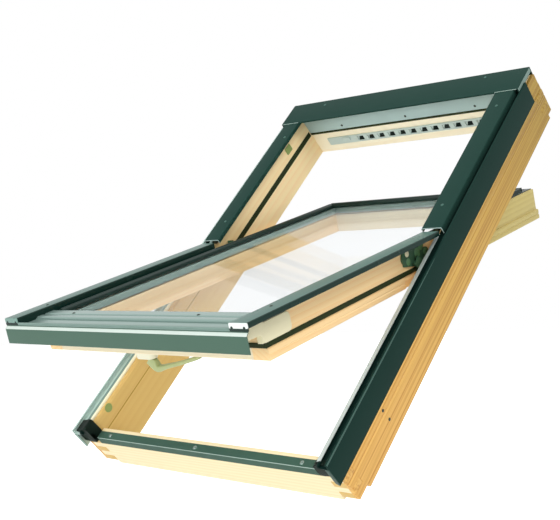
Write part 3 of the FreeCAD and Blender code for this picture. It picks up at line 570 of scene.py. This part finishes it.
def turned(body, centre, axis, profile, count=28):
    # a profile of (radius, height) pairs turned about an axis of the flat drawing
    radius, height = np.asarray(profile, float).T
    angle = np.linspace(0, 2 * math.pi, count, endpoint=False)
    first = radius[:, None] * np.cos(angle)
    second = radius[:, None] * np.sin(angle)
    rise = np.broadcast_to(height[:, None], first.shape)
    order = {"u": (rise, first, second), "v": (second, rise, first), "w": (first, second, rise)}[axis]
    return places[body](*[start + part for start, part in zip(centre, order)])


def outwards(profile, side):  # a profile whose heights point away from the middle
    return np.asarray(profile, float) * np.array([1, side])


timbers = {
    "left_jamb": ("frame", "jambPine"), "right_jamb": ("frame", "jambPine"),
    "frame_head": ("frame", "headPine"), "frame_sill": ("frame", "sillPine"),
    "left_stile": ("sash", "leftStilePine"), "right_stile": ("sash", "stilePine"),
    "top_rail": ("sash", "sashRailPine"), "bottom_rail": ("sash", "sashRailPine"),
}
timberEdge = {
    "bevel": 1.4, "segments": 2, "bevelAngle": 40, "sharpAngle": 60,  # mm and degrees
    "merge": 0.02, "flatAngle": 1,
    "slopeFrom": -4.5, "slopeIn": 5.5, "jambInner": 346,  # slope at the inner weather edge of a jamb
    "near": 0.3, "clear": 1.0,  # points taken as on the inner face, and as above the cut
}


def softenTimber(name, body, look):  # the solid's own form with its long edges eased
    mesh = nodes[name].data.copy()
    mesh.materials.clear()
    shell = bmesh.new()
    shell.from_mesh(mesh)
    bmesh.ops.remove_doubles(shell, verts=shell.verts, dist=timberEdge["merge"] * mm)
    flat = math.radians(timberEdge["flatAngle"])
    bmesh.ops.dissolve_limit(shell, angle_limit=flat, verts=shell.verts, edges=shell.edges)
    if look == "jambPine":
        slopeInnerEdge(shell)
    shell.to_mesh(mesh)
    shell.free()
    piece = finishPiece("eased_" + name, body, look, mesh, [name], timberEdge["sharpAngle"])
    bevel = piece.modifiers.new("easedEdges", "BEVEL")
    bevel.width = timberEdge["bevel"] * mm
    bevel.segments = timberEdge["segments"]
    bevel.limit_method = "ANGLE"
    bevel.angle_limit = math.radians(timberEdge["bevelAngle"])


def slopeInnerEdge(shell):  # cuts the board below its weather face and leans the inner face back above it
    start = Vector(roofPoint(0, 0, timberEdge["slopeFrom"]))
    normal = Vector(roofPoint(0, 0, 1) - roofPoint(0, 0, 0)).normalized()
    everything = shell.verts[:] + shell.edges[:] + shell.faces[:]
    bmesh.ops.bisect_plane(shell, geom=everything, plane_co=start, plane_no=normal, dist=mergeGap)
    for spot in shell.verts:
        inner = abs(abs(spot.co.x) - timberEdge["jambInner"] * mm) < timberEdge["near"] * mm
        if inner and (spot.co - start).dot(normal) > timberEdge["clear"] * mm:
            spot.co.x += math.copysign(timberEdge["slopeIn"] * mm, spot.co.x)


for name, (body, look) in timbers.items():
    softenTimber(name, body, look)
print("timber eased")

upperCover = {
    "inner": 322, "outer": 375, "top": 22, "innerFoot": 11, "outerFoot": 5, "bend": 2.6,
    "run": (22, 515),
    "cutEdge": (-0.5, 0.6), "cutProud": 0.15,  # bare edge at the lower end
}


def upperCovers():  # a folded section carried straight up the slope
    section = channel(*[upperCover[key] for key in ("inner", "outer", "top", "innerFoot", "outerFoot")])
    sheet = roundCorners(section, upperCover["bend"])
    cut = insetOutline(sheet, -upperCover["cutProud"])
    cutRun = [upperCover["run"][0] + step for step in upperCover["cutEdge"]]
    for name, side in sides.items():
        buildPiece(f"{name}_upper_sheet", "frame", "coverPaint",
                   [sweepAlong("frame", sheet, *upperCover["run"], side)], [f"{name}_upper_cover"])
        buildPiece(f"{name}_upper_cut_edge", "frame", "stripPaint",
                   [sweepAlong("frame", cut, *cutRun, side)])


upperCovers()

sashCover = {
    "inner": 328, "outer": 374.5, "top": 24.5, "innerFoot": 4, "outerFoot": 14, "bend": 2.6,
    "run": (-620, 12),
    "sheen": box((331, 24.2), (371.5, 24.8)), "sheenCorner": 0.2,  # painted sheen: a lighter flat along the top
}


def sashCovers():  # a folded section carried along the sash
    section = channel(*[sashCover[key] for key in ("inner", "outer", "top", "innerFoot", "outerFoot")])
    sheet = roundCorners(section, sashCover["bend"])
    for name, side in sides.items():
        buildPiece(f"{name}_sash_sheet", "sash", "sashPaint",
                   [sweepAlong("sash", sheet, *sashCover["run"], side)], [f"{name}_sash_cover"])
    # painted sheen along the covers' tops
    sheen = roundCorners(sashCover["sheen"], sashCover["sheenCorner"])
    buildPiece("sash_cover_sheen", "sash", "sheenAndScrewTone",
               sweepBoth("sash", sheen, *sashCover["run"]))


sashCovers()

flashing = {
    "fold": 1.3,
    "ledge": [(359, 0), (388.5, 0), (388.5, -48), (390, -48), (390, 13.5), (385, 13.5), (385, 12),
              (388.5, 12), (388.5, 1.5), (359, 1.5)], "ledgeRun": (-604.5, 538),
    "curb": [(361, 1.4), (362.5, 1.4), (362.5, 6), (365.5, 6), (365.5, 1.4), (367, 1.4), (367, 8), (361, 7)],
    "curbRun": (-604.5, 16),
    "brush": [(355.7, 1.5), (361.1, 1.5), (361.1, 6.9), (367.7, 7.9), (367.7, 9.5), (355.7, 6.2)],
    "brushRun": (-592, 16), "brushCorner": 0.4,
    "lipCentre": (388.9, 11.1), "lipCount": 16,
    "lipTaper": [(-603, 2.2), (-330, 2.1), (-120, 1.6), (20, 0.5)],  # place up the slope and radius
    "sillFoldHighlight": box((-590.4, -27.4), (-589.2, -26.2)), "sillFoldHighlightHalf": 342, "sillFoldHighlightCorner": 0.4,
}


def flashingSheets():  # sections carried straight; the lip is a painted highlight, a lighter circle along the outer fold whose radius shrinks up the slope so that it fades
    ledge, curb = [roundCorners(flashing[key], flashing["fold"]) for key in ("ledge", "curb")]
    level, radius = np.array(flashing["lipTaper"]).T[..., None]
    circle = circleOutline(1, flashing["lipCount"])
    lipAcross, lipOut = flashing["lipCentre"]
    lips = []
    for name, side in sides.items():
        buildPiece(f"{name}_flashing_sheet", "frame", "gutterPaintLightAndShade",
                   [sweepAlong("frame", ledge, *flashing["ledgeRun"], side),
                    sweepAlong("frame", curb, *flashing["curbRun"], side)], [f"{name}_flashing"])
        across = side * (lipAcross + radius * circle[:, 0])
        lips.append(roofPoint(across, level, lipOut + radius * circle[:, 1]))
    buildPiece("flashing_highlight_lips", "frame", "lipHighlightPaint", lips)
    brush = roundCorners(flashing["brush"], flashing["brushCorner"])
    buildPiece("curb_brushes", "frame", "brushStripAndLight",
               sweepBoth("frame", brush, *flashing["brushRun"]), ["curb_strips"])
    # painted highlight: a light line along the sill cover's fold
    fold = roundCorners(flashing["sillFoldHighlight"], flashing["sillFoldHighlightCorner"])
    buildPiece("sill_fold_highlight", "frame", "foldHighlight",
               [sweepWhole("frame", fold, flashing["sillFoldHighlightHalf"])])


flashingSheets()

hood = {
    "front": 501, "back": 590, "top": 23.5, "half": 385, "backFoot": -30, "bend": 3.0,
    "wallFoot": 10, "wallTop": 22.6, "wallEnd": 588.6, "wallCorner": 0.7,
    "lipFoot": 19, "lipTop": 22.4, "lipHalf": 320,
    "endPlate": box((384.8, 10.8), (385.4, 21.9)), "endRun": (503, 586),
    "frontHighlight": box((500.6, 22.3), (501.6, 23.6)), "frontHighlightRun": (322, 382), "lineCorner": 0.2,
}


def hoodSheet():  # a folded section carried across, with a wall at either side and a lip below its front edge
    front, back, top, half = [hood[key] for key in ("front", "back", "top", "half")]
    under, rear, corner = top - sheetThick, back - sheetThick, hood["wallCorner"]
    section = [(front, under), (rear, under), (rear, hood["backFoot"]), (back, hood["backFoot"]),
               (back, top), (front, top)]
    wall = roundCorners(box((half - sheetThick, hood["wallFoot"]), (half, hood["wallTop"])), corner)
    lip = roundCorners(box((front, hood["lipFoot"]), (front + sheetThick, hood["lipTop"])), corner)
    buildPiece("hood_sheet", "frame", "coverPaint",
               [sweepWhole("frame", roundCorners(section, hood["bend"]), half),
                *sweepBoth("frame", wall, front, hood["wallEnd"]),
                sweepWhole("frame", lip, hood["lipHalf"])], ["head_hood"])
    plate, line = [roundCorners(hood[key], hood["lineCorner"]) for key in ("endPlate", "frontHighlight")]
    buildPiece("hood_ends", "frame", "footShadeAndTrim", sweepBoth("frame", plate, *hood["endRun"]))
    # painted highlight: light lines along the hood's front edge
    inner, outer = hood["frontHighlightRun"]
    buildPiece("hood_front_highlights", "frame", "foldHighlight",
               [sweepAcross("frame", line, -outer, -inner), sweepAcross("frame", line, inner, outer)])


hoodSheet()

footProfile = {
    "half": 328, "bend": 2.4,
    "section": [(-514, 4), (-547, 4), (-547, 5.5), (-620, 5.5), (-620, 7), (-572, 7), (-571, 10.5),
                (-567.5, 12), (-553.5, 12), (-551.5, 8), (-548.5, 8), (-546.5, 12), (-521.5, 12), (-516, 8)],
    "seat": box((-531, 0), (-514.2, 4.2)), "seatHalf": 313, "seatCorner": 0.8,
    "shadowLine": box((-573.6, 6.9), (-572, 8.6)), "lineCorner": 0.4,
}
apronSheet = {
    "half": 372.5, "bend": 1.6,
    "front": [(-620.1, 8.5), (-621, 8.5), (-627, 2), (-627, -32.5), (-625.5, -32.5), (-625.5, 1.4),
              (-620.1, 7)],
    "brow": [(-620.6, 8.7), (-627.4, 2.2), (-627.4, 1.4), (-626.8, 1.4), (-620.6, 8.2)], "browCorner": 0.5,
    "flange": box((-621, 7), (-600, 8.5)), "flangeCorner": 0.7,
    # painted shade: a darker neck under the rib
    "neck": box((-621.4, 8.4), (-619.6, 12.2)), "neckCorner": 0.4,
    "tubeCentre": (-620.5, 13.1), "tubeRadius": 1.9, "tubeCount": 16,
}


def footMetals():  # sections carried across the sash
    half, reach = footProfile["half"], apronSheet["half"]
    section = roundCorners(footProfile["section"], footProfile["bend"])
    seat = roundCorners(footProfile["seat"], footProfile["seatCorner"])
    buildPiece("foot_bead", "sash", "footMetal",
               [sweepWhole("sash", section, half), sweepWhole("sash", seat, footProfile["seatHalf"])],
               ["bottom_profile"])
    line = roundCorners(footProfile["shadowLine"], footProfile["lineCorner"])
    neck = roundCorners(apronSheet["neck"], apronSheet["neckCorner"])
    tube = circleOutline(apronSheet["tubeRadius"], apronSheet["tubeCount"])
    tube += np.array(apronSheet["tubeCentre"])
    # painted shade in the shadow line and the neck, with the rib's tube in the same tone
    buildPiece("foot_shade_and_rib", "sash", "footShadeAndTrim",
               [sweepWhole("sash", outline, half) for outline in (line, neck, tube)])
    front = roundCorners(apronSheet["front"], apronSheet["bend"])
    flange = roundCorners(apronSheet["flange"], apronSheet["flangeCorner"])
    buildPiece("apron_sheet", "sash", "apronPaint",
               [sweepWhole("sash", front, reach), sweepWhole("sash", flange, half)], ["apron"])
    # painted highlight: a pale band along the apron's rounded fold
    brow = roundCorners(apronSheet["brow"], apronSheet["browCorner"])
    buildPiece("apron_brow_highlight", "sash", "browHighlight", [sweepWhole("sash", brow, reach)])


footMetals()

glassTrim = {
    "corner": 1.6, "run": (-514, 497),
    "side": [(303, 0), (312.9, 0), (312.9, 4), (328, 4), (328, 5.5), (317, 5.5), (316.4, 10), (315.5, 13.5),
             (311, 13.5), (309.5, 11.8), (307.5, 11.4), (304.5, 9), (303.6, 6)],
    "top": [(497, 0), (513.9, 0), (513.9, 4), (530, 4), (530, 5.5), (511, 5.5), (510, 13.5), (502, 13.5),
            (497.6, 6)], "topHalf": 313,
    "topFlange": box((497, 4), (530, 5.5)), "flangeHalf": 328, "flangeCorner": 0.6,
}


def glassTrims():  # dark trim round the glass: two soft ridges on an upright strip, carried along each edge
    strip, crest = [roundCorners(glassTrim[key], glassTrim["corner"]) for key in ("side", "top")]
    for name, side in sides.items():
        buildPiece(f"{name}_glass_trim", "sash", "trimPaint",
                   [sweepAlong("sash", strip, *glassTrim["run"], side)], [f"{name}_glazing_bead"])
    flange = roundCorners(glassTrim["topFlange"], glassTrim["flangeCorner"])
    buildPiece("top_glass_trim", "sash", "trimPaint",
               [sweepWhole("sash", crest, glassTrim["topHalf"]),
                sweepWhole("sash", flange, glassTrim["flangeHalf"])], ["top_glazing_cover"])


glassTrims()

seals = {
    "stile": [(334, -49), (337, -49), (337, -44), (335.5, -39), (334, -39)], "stileRun": (-547, -22),
    "stileCorner": 1.2,
    "foot": box((-550, -49), (-547, -39)), "footHalf": 337, "footCorner": 1.4,
    "jamb": box((345, -58), (346.2, -43)), "jambRun": (84, 540), "jambCorner": 0.5,
    "head": box((543, -58), (546, -50)), "headHalf": 345, "headCorner": 1.2,
}


def gaskets():  # sections carried along the stiles and jambs, and across the foot and head
    stile, foot, jamb, head = [
        roundCorners(seals[key], seals[key + "Corner"]) for key in ("stile", "foot", "jamb", "head")]
    buildPiece("sash_seal", "sash", "oliveRubber",
               [*sweepBoth("sash", stile, *seals["stileRun"]), sweepWhole("sash", foot, seals["footHalf"])],
               ["sash_gasket"])
    buildPiece("frame_seal", "frame", "oliveRubber",
               [*sweepBoth("frame", jamb, *seals["jambRun"]), sweepWhole("frame", head, seals["headHalf"])],
               ["frame_gasket"])


gaskets()

boots = {
    "corner": 1.6, "edge": 1.4, "sharpAngle": 50,
    "left": [(342.5, -26.5), (345.8, -26.5), (345.8, -4.6), (351.6, 1.4), (384, 1.4), (384, 7), (380, 9.5),
             (362, 13), (349, 16.5), (344.5, 15), (342.5, 9)], "leftRun": (-598, -568),
    "right": [(342.5, -26.5), (345.8, -26.5), (345.8, -4.6), (351.6, 1.4), (384, 1.4), (384, 3), (381, 4.6),
              (358, 4.6), (353, 3.2), (342.5, -6)], "rightRun": (-598, -586),
    "front": [(342.5, -34.5), (359, -34.5), (386, -31), (386, -0.1), (348, -0.1), (342.5, -6)],
    "frontRun": (-598, -589.8),
}


def cornerBoots():  # a crest that draws in at its upper end, and a front that draws in at its lower end
    front = roundCorners(boots["front"], boots["corner"])
    grids = []
    for name, side in sides.items():
        crest = roundCorners(boots[name], boots["corner"])
        grids.append(roundedRun("frame", crest, *boots[name + "Run"], side, 0, boots["edge"]))
        grids.append(roundedRun("frame", front, *boots["frontRun"], side, boots["edge"], 0))
    buildPiece("corner_boots", "frame", "sealRubberAndSlotShade", grids, ["corner_seals"],
               boots["sharpAngle"])


cornerBoots()
print("sheets, trims and seals made")

lever = {
    "spindle": (-20, -527, -90.4), "reach": 150, "height": 28, "square": 0.6, "count": 28, "rings": 48,
    # share of reach and height, half depth and half width in mm
    "line": [(-0.02, -0.04, 14, 8.0), (0.02, -0.3, 12.5, 8.0), (0.07, -0.62, 10, 8.2),
             (0.12, -0.76, 7.6, 8.2), (0.2, -0.66, 6.0, 7.8), (0.3, -0.53, 5.0, 7.4), (0.46, -0.36, 4.4, 7.0),
             (0.63, -0.17, 4.4, 6.6), (0.8, 0.07, 4.2, 6.4), (0.92, 0.22, 4.0, 6.0), (0.99, 0.31, 2.8, 4.4)],
    "rootShare": 0.2, "rootCap": -0.5, "gripCap": 12,  # highest level near the root, and past it
    "neck": [(8.8, 0), (8.8, -2), (8.4, -6), (6, -8)],
    "roseMiddle": -32, "roseRadius": 13, "roseReach": 14, "roseFrom": -74, "roseRise": -15.8,
    "roseEdge": 4, "roseCount": 40, "sharpAngle": 45,
}


def smoothThrough(share, values, fine):  # linear steps softened by a running mean of five, ends kept
    dense = np.interp(fine, share, values)
    padded = np.concatenate([2 * dense[0] - dense[2:0:-1], dense, 2 * dense[-1] - dense[-2:-4:-1]])
    return np.convolve(padded, np.ones(5) / 5, mode="valid")


def swanLever():
    # a squarish oval, cosine and sine to a power, carried along a line that runs smoothly near its knots
    knots = np.array(lever["line"])
    share = np.linspace(0, 1, len(knots))
    fine = np.linspace(0, 1, lever["rings"])
    along, rise, halfDeep, halfWide = [smoothThrough(share, column, fine) for column in knots.T]
    line = np.stack([along * lever["reach"], rise * lever["height"]], axis=-1)
    run = np.gradient(line, axis=0)
    run /= np.linalg.norm(run, axis=1, keepdims=True)
    across = np.stack([-run[:, 1], run[:, 0]], axis=-1)
    circle = circleOutline(1, lever["count"]).T
    section = np.sign(circle) * np.abs(circle) ** lever["square"]
    deep = halfDeep[:, None] * section[0]
    wide = halfWide[:, None] * section[1]
    u, v, w = lever["spindle"]
    cap = w + np.where(along[:, None] < lever["rootShare"], lever["rootCap"], lever["gripCap"])
    level = np.minimum(w + line[:, 1:] + across[:, 1:] * deep, cap)
    grip = places["handle"](u + line[:, :1] + across[:, :1] * deep, v + wide, level)
    neck = turned("handle", lever["spindle"], "w", lever["neck"])
    buildPiece("swan_lever", "handle", "leverShadedPaint", [grip, neck], ["handle_lever"],
               lever["sharpAngle"])


def handleRose():  # a circle drawn out to a stadium, with a rolled edge
    outline = circleOutline(lever["roseRadius"], lever["roseCount"])
    outline[:, 0] += np.where(outline[:, 0] >= 0, 1, -1) * lever["roseReach"] + lever["roseMiddle"]
    outline[:, 1] += lever["spindle"][1]
    rose = pillowOnFace("sash", outline, lever["roseFrom"], lever["roseRise"], lever["roseEdge"])
    buildPiece("handle_rose", "sash", "handlePaint", [rose], ["handle_base"],
               lever["sharpAngle"])


swanLever()
handleRose()

hinge = {
    "face": 338, "sharpAngle": 40,
    "bosses": [(-31, -10, 11), (-14, 1, 10), (2, -16, 10), (-69, -21, 8)],  # v, w and radius
    "bossProfile": [(1, -3.5), (1, 0.6), (0.86, 1.2), (0.5, 1.5), (0.1, 1.6)],  # share of the radius, height
    "disc": (-70, -3), "discProfile": [(7, -3.5), (7, 0.8), (6, 1.4), (0.3, 1.6)],
}


def hingeParts():  # profiles turned about lines across the window
    domes, discs = [], []
    for side in sides.values():
        face = side * hinge["face"]
        for v, w, radius in hinge["bosses"]:
            profile = outwards(hinge["bossProfile"], side) * np.array([radius, 1])
            domes.append(turned("sash", (face, v, w), "u", profile))
        discs.append(turned("sash", (face, *hinge["disc"]), "u", outwards(hinge["discProfile"], side)))
    buildPiece("hinge_bosses", "sash", "hingeGloss", domes, (), hinge["sharpAngle"])
    buildPiece("hinge_stop_discs", "sash", "creamPlastic", discs, (), hinge["sharpAngle"])


hingeParts()

blocks = {
    "face": [(-590, 3.8), (-545, 3.8), (-545, 0), (-469, 0), (-469, -39), (-554, -39), (-554, -20.5),
             (-590, -20.5)],
    "faceCorner": 12, "faceSteps": 8, "faceFrom": 334, "faceRise": 3, "faceEdge": 1.2,
    "nose": [(-590, -20.5), (-554, -20.5), (-554, -39), (-547.2, -39), (-547.2, 3.8), (-590, 3.8)],
    "noseCorner": 2, "noseFrom": 323, "noseRise": 12, "noseEdge": 1.0, "sharpAngle": 45,
}


def stileBlocks():  # outlines on the stiles' outer faces, raised with rolled edges
    face = roundCorners(blocks["face"], blocks["faceCorner"], blocks["faceSteps"])
    nose = roundCorners(blocks["nose"], blocks["noseCorner"])
    grids = pillowsOnSides("sash", face, blocks["faceFrom"], blocks["faceRise"], blocks["faceEdge"])
    grids += pillowsOnSides("sash", nose, blocks["noseFrom"], blocks["noseRise"], blocks["noseEdge"])
    buildPiece("stile_blocks", "sash", "creamPlastic", grids, ["corner_blocks"],
               blocks["sharpAngle"])


stileBlocks()

endCaps = {
    "from": -619.8, "rise": -2.2,
    "cover": box((328, 14), (374.5, 24.5)), "coverCorner": 2.6, "coverEdge": 0.9,
    "skirt": box((328, 8.5), (374.5, 14.6)), "skirtRise": -1.6, "skirtCorner": 1.0, "skirtEdge": 0.4,
    "notches": [(335, 15.4), (366, 15.4)], "notchCount": 16,
    "notchProfile": [(3, 0.4), (3, -0.2), (0.3, -0.2)],
    "flange": [(381, 1.5), (390, 1.5), (390, -48), (387, -48), (381, -42)], "flangeCorner": 1,
    "flangeFrom": -604.4, "flangeRise": -1.6, "flangeEdge": 0.5,
}


def capParts():  # outlines on the lower ends, raised down the slope with rolled edges; notches are turned
    start, rise = endCaps["from"], endCaps["rise"]
    cover, skirt, flange = [
        roundCorners(endCaps[key], endCaps[key + "Corner"]) for key in ("cover", "skirt", "flange")]
    buildPiece("cover_ends", "sash", "capMetalLeftShaded",
               pillowsOnEnds("sash", cover, start, rise, endCaps["coverEdge"]), ["cover_end_caps"])
    grids = [turned("sash", (side * u, start + rise, w), "v", endCaps["notchProfile"], endCaps["notchCount"])
             for side in sides.values() for u, w in endCaps["notches"]]
    grids += pillowsOnEnds("sash", skirt, start, endCaps["skirtRise"], endCaps["skirtEdge"])
    buildPiece("cover_end_notches", "sash", "trimPaint", grids)
    start, rise = endCaps["flangeFrom"], endCaps["flangeRise"]
    buildPiece("flashing_ends", "frame", "endPaintLeftLit",
               pillowsOnEnds("frame", flange, start, rise, endCaps["flangeEdge"]), ["flashing_end_caps"])


capParts()

inlet = {
    "first": -190, "pitch": 36, "slots": 13, "level": -90, "corner": 2,
    "slot": [(2, -7.2), (21.6, -7.2), (21.6, 7.2), (9, 7.2)],  # painted shade in a slot, from its left end
    "slotFrom": 545, "slotRise": -1.6, "slotEdge": 0.3,
    "knob": box((-242, -92), (-216, -80)), "knobFrom": 542, "knobRise": -3, "knobEdge": 1.2,
}


def inletParts():  # outlines raised from the head's face down the slope
    slot, knob = [roundCorners(inlet[key], inlet["corner"]) for key in ("slot", "knob")]
    starts = inlet["first"] + inlet["pitch"] * np.arange(inlet["slots"])
    shadows = [pillowOnEnd("frame", slot + np.array([start, inlet["level"]]), inlet["slotFrom"],
                           inlet["slotRise"], inlet["slotEdge"]) for start in starts]
    buildPiece("inlet_shadows", "frame", "sealRubberAndSlotShade", shadows)
    buildPiece("inlet_slide", "frame", "inletPlastic",
               [pillowOnEnd("frame", knob, inlet["knobFrom"], inlet["knobRise"], inlet["knobEdge"])])


inletParts()

fittings = {
    "face": 346,  # inner face of a jamb
    "catch": box((420, -28.5), (448, -7.5)), "catchCorner": 4, "catchRise": -2, "catchEdge": 0.8,
    "groove": [(346.05, -37.6), (347.8, -39.5), (346.05, -41.2)], "grooveCorner": 0.3,
    "grooveRun": (-559.5, -96),
    "leftSocket": (-516, -7), "rightSocket": (-516, -16),
    "socketProfile": [(11, 0.2), (11, -0.5), (10.2, -1), (0.3, -1)],
}


def jambFittings():  # painted shade carried along the groove, raised catch plates and turned sockets on the jambs' inner faces
    groove, catch = [roundCorners(fittings[key], fittings[key + "Corner"]) for key in ("groove", "catch")]
    buildPiece("jamb_groove_shade", "frame", "grooveShade",
               sweepBoth("frame", groove, *fittings["grooveRun"]))
    plates = pillowsOnSides("frame", catch, fittings["face"], fittings["catchRise"], fittings["catchEdge"])
    buildPiece("catch_keeps", "frame", "oliveMetal", plates, ["catch_plates"])
    sockets = [turned("frame", (side * fittings["face"], *fittings[name + "Socket"]), "u",
                      outwards(fittings["socketProfile"], side)) for name, side in sides.items()]
    buildPiece("bolt_sockets", "frame", "oliveMetal", sockets, ["bolt_bushes"])


jambFittings()

# shares of the radius: distance from the axis and height
screwHead = [(1.0, -0.1), (1.0, 0.14), (0.82, 0.3), (0.5, 0.36), (0.42, 0.2), (0.05, 0.18)]
screws = {
    "cover_screws": {
        "body": "frame", "axis": "w", "radius": 3.6, "rise": 1, "count": 16, "look": "sheenAndScrewTone",
        "spots": [(-343, 94, 22), (345, 97, 22), (-338, 440, 22), (348, 446, 22), (-258, 568, 23.5),
                  (267, 573, 23.5)]},
    "strip_screws": {
        "body": "frame", "axis": "v", "radius": 3.6, "rise": -1, "count": 16, "look": "darkScrew",
        "spots": [(-219, 543, -38), (2, 543, -38), (221, 543, -38)]},
    "sill_clips": {
        "body": "frame", "axis": "w", "radius": 5, "rise": 1, "count": 20, "look": "screwSteel",
        "spots": [(-302, -580, -26.5), (-14, -580, -26.5), (292, -580, -26.5)]},
    "sash_screws": {
        "body": "sash", "axis": "w", "radius": 3.6, "rise": 1, "count": 16, "look": "darkScrew",
        "spots": [(-346, -523, 24.5), (346, -523, 24.5), (-228, -542, 12), (168, -542, 12)]},
    "jamb_screws": {
        "body": "frame", "axis": "u", "radius": 3.6, "rise": 0.7, "count": 16, "look": "darkScrew",
        "spots": [(390, -418, -59), (390, -417, -88), (-390, -418, -59), (-390, -417, -88)]},
}


def screwParts():  # one head's profile turned at each spot, along its axis
    for name, kind in screws.items():
        heads = []
        for spot in kind["spots"]:
            side = math.copysign(1, spot[0]) if kind["axis"] == "u" else 1
            profile = kind["radius"] * outwards(screwHead, side * kind["rise"])
            heads.append(turned(kind["body"], spot, kind["axis"], profile, kind["count"]))
        buildPiece(name, kind["body"], kind["look"], heads)


screwParts()
print("fittings and screws made")
